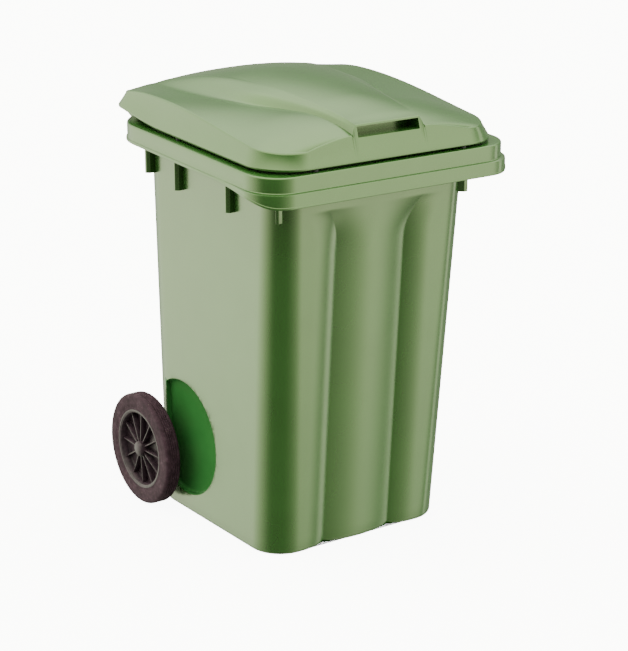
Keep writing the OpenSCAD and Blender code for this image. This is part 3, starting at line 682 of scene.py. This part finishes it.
# Heights are above the floor, and lengths along the lid (At, From, To) are counted from its front edge
lid = {
    "width": 586, "setBack": 8, "length": 604, "gap": 6, "thick": 4, "frontCorner": 90, "rearCorner": 38,
    "flange": 16, "lift": 16, "liftLength": 190, "topIn": 14, "edgeRound": 5,
    "spineHalf": 76, "spineFlare": 3, "spineFlareLength": 70,
    "spineSpread": 0.08, "spineCurl": 0.00028, "spineCurlFrom": 224,
    "spineFront": 921, "spineTop": 959, "spineTopBack": 210, "backDrop": 15, "crown": 9.9, "crownLength": 150,
    "crestHalf": 90, "crestSpread": 0.1, "crestCurl": 0.00075,
    "crestTurnAt": 269, "crestTurnHalf": 162, "crestGain": 45, "crestSettle": 95,
    "crestFront": 902, "crestTop": 929, "crestTopAt": 164,
    "edgeFront": 884, "edgeRise": 47, "edgeFrom": 34, "edgeTo": 484, "edgePower": 1.3, "edgeDroop": 0.0009,
    "rake": 0.3, "rakeFade": 40, "wingLeast": 12,
    "channel": 4, "channelFrom": 210, "channelFade": 110, "channelOut": 0.88,
    "evenFrom": 260, "evenLength": 160,
    "bead": 0.9, "beadHeight": 4.5,
    "slotWidth": 152, "slotLow": 896, "slotHeight": 21, "slotDepth": 42, "slotWall": 3,
}
lidFront = lid["setBack"] - rim["front"]
lidBack = lidFront + lid["length"]
topStart = lid["topIn"] + lid["edgeRound"]


def spineHalf(d):
    flare = lid["spineFlare"] * (1 - smooth(d / lid["spineFlareLength"]))
    curl = lid["spineCurl"] * max(0, d - lid["spineCurlFrom"]) ** 2
    return lid["spineHalf"] + flare + lid["spineSpread"] * max(0, d - topStart) + curl


def crestX(d):
    # widens faster and faster up to its turn, then settles beside the lid's edge
    if d < lid["crestTurnAt"]:
        run = max(0, d - topStart)
        return lid["crestHalf"] + lid["crestSpread"] * run + lid["crestCurl"] * run ** 2
    left = np.exp((lid["crestTurnAt"] - d) / lid["crestSettle"])
    return lid["crestTurnHalf"] + lid["crestGain"] * (1 - left)


def spineZ(y):
    top = lidBack - lid["spineTopBack"]
    if y < top:
        rise = lid["spineTop"] - lid["spineFront"]
        return lid["spineTop"] - rise * ((top - y) / (top - lidFront - topStart)) ** 2
    return lid["spineTop"] - lid["backDrop"] * ((y - top) / 150) ** 2


def crestZ(d):
    ahead = max(0, lid["crestTopAt"] - d) / (lid["crestTopAt"] - topStart)
    return lid["crestTop"] - (lid["crestTop"] - lid["crestFront"]) * ahead ** 2


def edgeZ(d):
    along = (d - lid["edgeFrom"]) / (lid["edgeTo"] - lid["edgeFrom"])
    rise = sin(radians(90 * min(1, max(0, along)))) ** lid["edgePower"]
    return lid["edgeFront"] + lid["edgeRise"] * rise - lid["edgeDroop"] * max(0, d - lid["edgeTo"]) ** 2


# Where the points of a cross-section stand, as shares of the spine's, the flank's and the wing's width
spineParts = np.array([0, 0.2, 0.4, 0.6, 0.75, 0.88, 0.95, 0.98, 1])
flankParts = np.array([0.03, 0.08, 0.2, 0.35, 0.45, 0.5, 0.55, 0.65, 0.78, 0.84, 0.88, 0.93, 0.97, 1])
wingParts = np.array([0.02, 0.05, 0.12, 0.2, 0.3, 0.4, 0.5, 0.6, 0.7, 0.8, 0.88, 0.94, 0.98, 1])


def lidSection(y, half):
    # half of a cross-section from the middle outwards: the spine, its two-slope flank, the channel, the wing
    d = y - lidFront
    e, h = spineHalf(d), min(crestX(d), half - lid["wingLeast"])
    x1, x2, x3 = e * spineParts, mix(e, h, flankParts), mix(h, half, wingParts)
    top, crest, edge = spineZ(y), crestZ(d), edgeZ(d)
    deep = lid["channel"] * (1 - smooth((d - lid["channelFrom"]) / lid["channelFade"]))
    z1 = top + lid["crown"] * smooth(d / lid["crownLength"]) * (1 - (x1 / e) ** 2)
    twoSlopes = np.interp(flankParts, [0, 0.45, 0.55, 0.84, 0.9, 1], [0, 0.3, 0.42, 0.97, 1, 1])
    share = mix(twoSlopes, smooth(flankParts), smooth((d - lid["evenFrom"]) / lid["evenLength"]))
    upAgain = smooth((flankParts - lid["channelOut"]) / (1 - lid["channelOut"]))
    z2 = mix(top, crest - deep, share) + deep * upAgain
    z3 = mix(crest, edge, wingParts ** 1.5)
    x = np.concatenate([x1, x2, x3])
    z = np.concatenate([z1, z2, z3])
    return np.concatenate([-x[:0:-1], x]), np.concatenate([z[:0:-1], z])


def lidRows(half, front, back, frontRadius, backRadius):
    q = np.radians(np.linspace(0, 90, 15))
    rows = [(front + frontRadius * (1 - cos(a)), half - frontRadius * (1 - sin(a))) for a in q]
    rows += [(y, half) for y in np.linspace(front + frontRadius, back - backRadius, 72)[1:-1]]
    rows += [(back - backRadius * (1 - cos(a)), half - backRadius * (1 - sin(a))) for a in q[::-1]]
    return rows


def lidLowZ(y):
    start = lidBack - lid["liftLength"]
    return rimZ(y) + lid["gap"] + lid["lift"] * smooth((y - start) / lid["liftLength"])


def border(grid):
    n = len(grid) - 1
    loop = list(grid[0]) + [grid[i][-1] for i in range(1, n)]
    return np.array(loop + list(grid[n][::-1]) + [grid[i][0] for i in range(n - 1, 0, -1)])


def rakedY(y, z):
    # the front skirt is one plane, so what stands higher also stands further back
    fade = 1 - smooth((y - lidFront - lid["topIn"]) / lid["rakeFade"])
    return y + lid["rake"] * (z - lid["crestFront"]) * fade


def lidGrid(inset, drop):
    w = lid["topIn"] + inset
    rows = lidRows(lid["width"] / 2 - w, lidFront + w, lidBack - w, lid["frontCorner"] - w * 0.7,
                   lid["rearCorner"] - w * 0.6)
    grid = []
    for y, half in rows:
        x, z = lidSection(y, half)
        grid.append(np.column_stack([x, rakedY(y, z), z - drop]))
    return grid


def lidLoop(inset, up):
    rows = lidRows(lid["width"] / 2 - inset, lidFront + inset, lidBack - inset, lid["frontCorner"] - inset,
                   lid["rearCorner"] - inset)
    grid = []
    for y, half in rows:
        x, _ = lidSection(y, half)
        grid.append(np.column_stack([x, np.full(len(x), y), np.full(len(x), lidLowZ(y) + up)]))
    return border(grid)


def lidShell():
    r = lid["edgeRound"]
    outer, inner = lidGrid(r, 0), lidGrid(lid["thick"] + r, lid["thick"])
    topLoop, footLoop = border(outer), lidLoop(lid["bead"], lid["beadHeight"] + 0.6)
    shoulder = border(lidGrid(0, 0))
    shoulder[:, 2] = topLoop[:, 2] - r
    rounds = []
    for q in arc(6)[1:]:
        ring = mix(topLoop, shoulder, sin(q))
        ring[:, 2] = topLoop[:, 2] - r * (1 - cos(q))
        rounds.append(ring)
    b, high = lid["bead"], lid["beadHeight"]
    foot = [lidLoop(b * 0.5, high), lidLoop(0, high - 0.7), lidLoop(0, 1.2), lidLoop(b * 0.4, 0.35),
            lidLoop(0.6, 0), lidLoop(lid["flange"], 0), lidLoop(lid["flange"], lid["thick"]),
            lidLoop(lid["thick"], lid["thick"] + 1)]
    loops = rounds + [footLoop] + foot + [border(inner)]
    cols = len(outer[0])
    count = len(outer) * cols
    sheets = [np.concatenate(outer), np.concatenate(inner)]
    faces = [tuple(base + r0 * cols + c + k for k in (0, 1, cols + 1, cols))
             for base in (0, count) for r0 in range(len(outer) - 1) for c in range(cols - 1)]
    chain = [topLoop] + loops
    faces += [tuple(2 * count + i for i in quad) for quad in skin(chain)]
    return newPiece("lidShell", placed(np.concatenate(sheets + chain)), faces, green)


def slotPiece(grow):
    half = lid["slotWidth"] / 2 + grow
    low, high = lid["slotLow"] - grow, lid["slotLow"] + lid["slotHeight"] + grow
    back = lidFront + lid["topIn"] + lid["slotDepth"] + grow
    lead = 2 if grow else -20  # the wall stays behind the skirt, and the cut comes out in front of it

    def skirtY(z):
        return lidFront + lid["topIn"] + lid["rake"] * (z - lid["crestFront"]) + lead

    outline = [(skirtY(low), low), (back, low), (back, high), (skirtY(high), high)]
    return prism("slot", outline, 0, -half, half, green)


def armPiece(side):
    y, z, r = hingeAt.y - yZero, hingeAt.z, hinge["knuckleRadius"]
    ends = sorted((side * hinge["knuckleX"], side * (hinge["knuckleX"] + hinge["knuckleLong"])))
    outline = [(lidBack - 8, z + 15), (lidBack - 13, z + 33)]
    outline += [(y + r * cos(radians(a)), z + r * sin(radians(a))) for a in range(75, -200, -15)]
    return prism("arm", outline, 0, ends[0], ends[1], green, bevel=1.2)


def buildLid():
    shell = lidShell()
    carve(shell, [slotPiece(lid["slotWall"]), armPiece(1), armPiece(-1)], "UNION")
    cuts = [slotPiece(0)]
    for side in (1, -1):
        ends = sorted((side * (hinge["knuckleX"] - 3), side * (hinge["knuckleX"] + hinge["knuckleLong"] + 3)))
        cuts.append(rod("pinBore", *ends, hingeAt.y - yZero, hingeAt.z, hinge["boreRadius"], green))
    carve(shell, cuts, "DIFFERENCE")
    shell.name = "lidPanel"
    return polish(shell)


attach(buildLid(), "lid", "green_plastic", "lid")
print("lid ready")

# Lengths across the wheel (out) are counted from the bin's middle plane
wheel = {"radius": 125, "width": 36, "out": 288, "seat": 87, "barrel": 5, "lip": 2.5,
         "webIn": 24, "web": 3, "hub": 17.5, "nose": 15.5, "spokes": 12, "spokeThick": 2.6, "spokeOut": 6,
         "boreRadius": 13.06}
tread = {"grooves": 4, "pitch": 5.2, "half": 1.7, "depth": 2.2, "shoulder": 7}
cap = {"radius": 16.3, "dome": 6.0, "stem": 5}


def tyreProfile():
    half, r = wheel["width"] / 2, wheel["radius"]
    mid = wheel["out"] - half
    inner = wheel["seat"] + 0.2
    lipEdge = wheel["seat"] + wheel["lip"] + 0.2
    shoulder = tread["shoulder"]
    low = [(inner, -half + 2), (inner + 4, -half + 1.6), (inner + 9, -half + 1.2), (inner + 11, -half + 0.2),
           (r - 20, -half), (r - 12, -half + 0.2)]
    low += [(r - shoulder + shoulder * sin(q), -half + shoulder * (1 - cos(q))) for q in arc(6)]
    grooves = []
    width, depth = tread["half"], tread["depth"]
    for i in range(tread["grooves"]):
        at = (i - (tread["grooves"] - 1) / 2) * tread["pitch"]
        grooves += [(r, at - width), (r - depth * 0.35, at - width * 0.6), (r - depth, at - width * 0.35),
                    (r - depth, at + width * 0.35), (r - depth * 0.35, at + width * 0.6), (r, at + width)]
    high = [(p[0], -p[1]) for p in low[:1:-1]]
    high += [(lipEdge + 3, half - 0.9), (lipEdge, half - 1.2), (lipEdge, half - 4), (inner, half - 4)]
    return [(p[0], p[1] + mid) for p in low + grooves + high + [low[0]]]


def rimProfile():
    # up the hub and the web's inner face, round the barrel with its lip, and back over the outer face
    out, s, b, hub, nose = wheel["out"], wheel["seat"], wheel["barrel"], wheel["hub"], wheel["nose"]
    inside = out - wheel["width"] + 2
    web = out - wheel["webIn"]
    face = web + wheel["web"]
    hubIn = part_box("wheel_rim_right")[0].x * 1000
    bore = wheel["boreRadius"]
    lip = s + wheel["lip"]
    return [(bore, hubIn), (hub - 1, hubIn), (hub, hubIn + 1), (hub, web), (hub + 3, web + 0.01),
            (s - b - 3, web + 0.01), (s - b, web - 2), (s - b, inside + 1), (s - b + 1, inside),
            (s - 0.5, inside), (s, inside + 0.6), (s, out - 4.2), (lip - 0.6, out - 4), (lip, out - 3.3),
            (lip, out - 1.8), (lip - 0.7, out - 1), (s - 1, out - 1), (s - 2.2, out - 2.2),
            (s - b + 0.8, out - 2.6), (s - b, out - 3.6), (s - b - 1.2, face + 2.5), (s - b - 3.5, face),
            (hub + 3, face), (hub, face + 2), (hub - 0.6, out - 2.2), (hub - 1.6, out - 1.2),
            (nose, out - 1.2), (nose, out - 9), (bore, out - 9), (bore, hubIn)]


def spokeTree():
    # instances one spoke round the axle, and makes it real with its material
    tree = bpy.data.node_groups.new("spokesRoundAxle", "GeometryNodeTree")
    for name, kind in (("Spoke", "NodeSocketObject"), ("Count", "NodeSocketInt"),
                       ("Centre", "NodeSocketVector"), ("Material", "NodeSocketMaterial")):
        tree.interface.new_socket(name=name, in_out="INPUT", socket_type=kind)
    tree.interface.new_socket(name="Geometry", in_out="OUTPUT", socket_type="NodeSocketGeometry")
    given = addNode(tree, "NodeGroupInput").outputs
    points = addNode(tree, "GeometryNodePoints", links={"Count": given["Count"], "Position": given["Centre"]})
    step = addNode(tree, "ShaderNodeMath", {"operation": "DIVIDE"}, {0: 2 * pi}, {1: given["Count"]})
    index = addNode(tree, "GeometryNodeInputIndex")
    angle = addNode(tree, "ShaderNodeMath", {"operation": "MULTIPLY"},
                    links={0: index.outputs[0], 1: step.outputs[0]})
    turn = addNode(tree, "ShaderNodeCombineXYZ", links={"X": angle.outputs[0]})
    shape = addNode(tree, "GeometryNodeObjectInfo", links={"Object": given["Spoke"]})
    copies = addNode(tree, "GeometryNodeInstanceOnPoints",
                     links={"Points": points.outputs[0], "Instance": shape.outputs["Geometry"],
                            "Rotation": turn.outputs[0]})
    real = addNode(tree, "GeometryNodeRealizeInstances", links={"Geometry": copies.outputs[0]})
    finish = addNode(tree, "GeometryNodeSetMaterial", links={"Geometry": real.outputs[0],
                                                             "Material": given["Material"]})
    addNode(tree, "NodeGroupOutput", links={"Geometry": finish.outputs[0]})
    return tree


spokesRound = spokeTree()


def spokePiece(side):
    # one spoke, standing on the web, its edge falling a little towards the rim
    web = wheel["out"] - wheel["webIn"]
    inner, outer = wheel["hub"] - 1, wheel["seat"] - wheel["barrel"] + 0.5
    top, t = wheel["out"] - wheel["spokeOut"], wheel["spokeThick"] / 2
    section = [(inner, web + 1), (outer, web + 1), (outer, top - 3), (inner + 8, top), (inner, top)]
    rings = [[(side * (x - web), y, r) for r, x in section] for y in (-t, t)]
    n = len(section)
    points = np.array(rings).reshape(-1, 3) / 1000
    piece = newPiece("spoke", points, skin(rings) + [tuple(range(n)), tuple(range(n, 2 * n))], charcoal)
    soft = piece.modifiers.new("soft", "BEVEL")
    soft.width = 0.0006
    soft.segments = 2
    return result(piece)


def spokeRing(side):
    shape = spokePiece(side)
    ring = newPiece("wheelSpokes", [], [], charcoal)
    modifier = ring.modifiers.new("spokes", "NODES")
    modifier.node_group = spokesRound
    web = wheel["out"] - wheel["webIn"]
    values = {"Spoke": shape, "Count": wheel["spokes"], "Material": charcoal,
              "Centre": Vector((side * web, axleAt.y, axleZ)) / 1000}
    for item in spokesRound.interface.items_tree:
        if item.in_out == "INPUT":
            modifier[item.identifier] = values[item.name]
    result(ring)
    bpy.data.objects.remove(shape)
    return ring


def capProfile():
    out, n = wheel["out"], wheel["nose"] - 0.1
    dome = [(cap["radius"] * sin(q), out - 1 + cap["dome"] * cos(q)) for q in arc(9)]
    stem = [(n, out - 1.2), (n, out - cap["stem"]), (n - 2, out - cap["stem"]), (n - 2, out - 1.4)]
    return dome + [(cap["radius"], out - 1.2)] + stem + [(0, out - 1.4)]


for side, word in ((1, "right"), (-1, "left")):
    body = "wheel_" + word
    centre = Vector((0, axleAt.y, axleZ))
    tyre = lathe("tyre" + word.capitalize(), tyreProfile(), centre, side, rubber, 160)
    attach(polish(tyre, 40), body, "tyre_rubber", "tyre_" + word)
    disc = lathe("wheelDisc" + word.capitalize(), rimProfile(), centre, side, charcoal, 128)
    attach(polish(disc, 35), body, "wheel_plastic", "wheel_rim_" + word)
    spokes = spokeRing(side)
    spokes.name = "spokes" + word.capitalize()
    attach(polish(spokes, 35), body, "wheel_plastic")
    dome = lathe("hubCap" + word.capitalize(), capProfile(), centre, side, charcoal, 64)
    attach(polish(dome, 35), body, "wheel_plastic", "hub_cap_" + word)
print("wheels ready")

# Nodes that keep their CAD shape get their finish here
finishes = {"lid_buffers": padRubber, "axle": zinc}
for word in ("left", "right"):
    finishes.update({"hinge_pin_" + word: zinc, "axle_washer_" + word: zinc, "wheel_lock_" + word: zinc,
                     "hinge_cap_" + word: nylon, "axle_bush_" + word: nylon, "hub_bush_" + word: nylon})
for name, material in finishes.items():
    slots = frame["nodes"][name].data.materials
    slots.clear()
    slots.append(material)
print("kept nodes finished")
